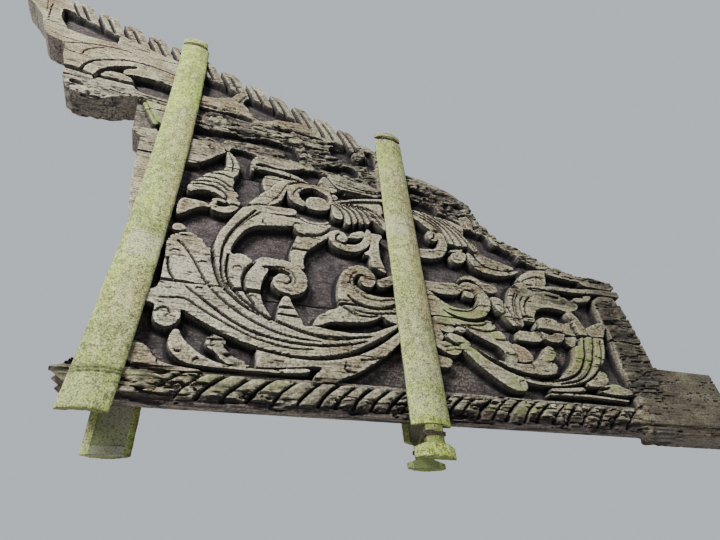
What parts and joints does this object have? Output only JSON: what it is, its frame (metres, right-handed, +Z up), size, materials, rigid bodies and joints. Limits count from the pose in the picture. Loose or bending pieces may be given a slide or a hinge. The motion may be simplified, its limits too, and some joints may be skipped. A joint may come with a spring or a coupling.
{
  "type": "carved floor beam end of a torogan house",
  "caption": "Stacked weathered planks carved with scrolls, leaves and rope rails, clamped between split bamboo culms, held at one end under a house wall.",
  "frame": {"origin": "middle of the floor beam's flat root face, which the house holds", "axes": "+X out of the root face towards the house, -X towards the carved tip, +Y from the seen face to the far face, +Z up"},
  "size_m": [2.75, 0.168, 1.9673],
  "materials": {
    "weathered_wood": "bare, grey with age",
    "rotted_wood": "rotted and fibrous",
    "bamboo": "dry skin with green stains",
    "tie_wire": "rusted"
  },
  "bodies": {
    "root": {"floor_beam": "weathered_wood", "middle_plank": "weathered_wood", "upper_plank": "rotted_wood", "crest_plank": "weathered_wood", "front_left_culm": "bamboo", "back_left_culm": "bamboo", "front_middle_culm": "bamboo", "back_middle_culm": "bamboo", "left_top_tie": "tie_wire", "middle_top_tie": "tie_wire", "middle_foot_tie": "tie_wire"}
  },
  "joints": []
}
